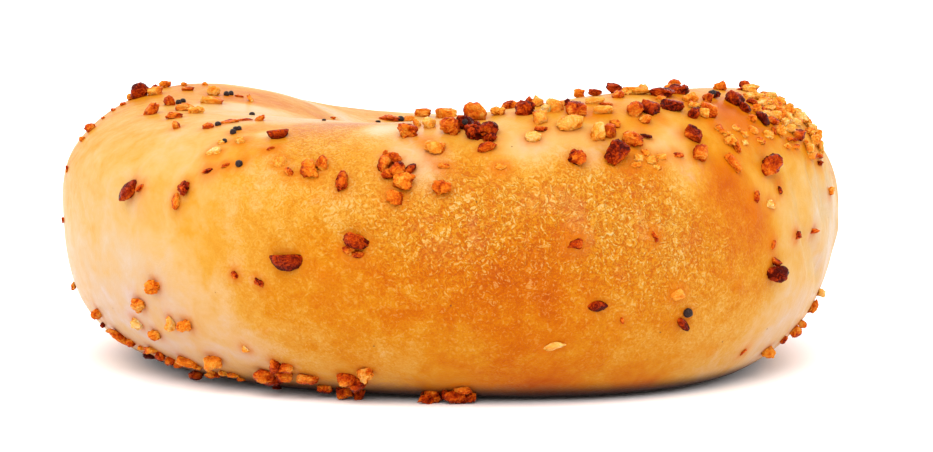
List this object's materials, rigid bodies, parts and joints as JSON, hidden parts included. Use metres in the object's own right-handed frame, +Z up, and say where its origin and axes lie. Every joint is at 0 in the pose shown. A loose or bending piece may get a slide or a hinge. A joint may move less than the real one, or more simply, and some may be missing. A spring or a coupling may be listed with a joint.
{
  "type": "bagel",
  "caption": "Plump ring of baked bread with a shiny golden crust, a narrow hole, a flat underside, and toasted onion, garlic and poppy seed on top.",
  "frame": {"origin": "centre of the ring's box, on the surface that the flat underside rests on", "axes": "+Z up through the hole, +X to the right of the side shown, -Y towards the viewer of that side"},
  "size_m": [0.1126, 0.1132, 0.0402],
  "materials": {
    "crust": "baked crust, golden brown with pale patches, softly shiny",
    "toasted_onion": "toasted onion flakes, amber to dark brown",
    "garlic": "toasted garlic granules, pale gold",
    "poppy_seed": "blue-black seed"
  },
  "bodies": {
    "root": {"bagel": "crust"}
  },
  "joints": []
}
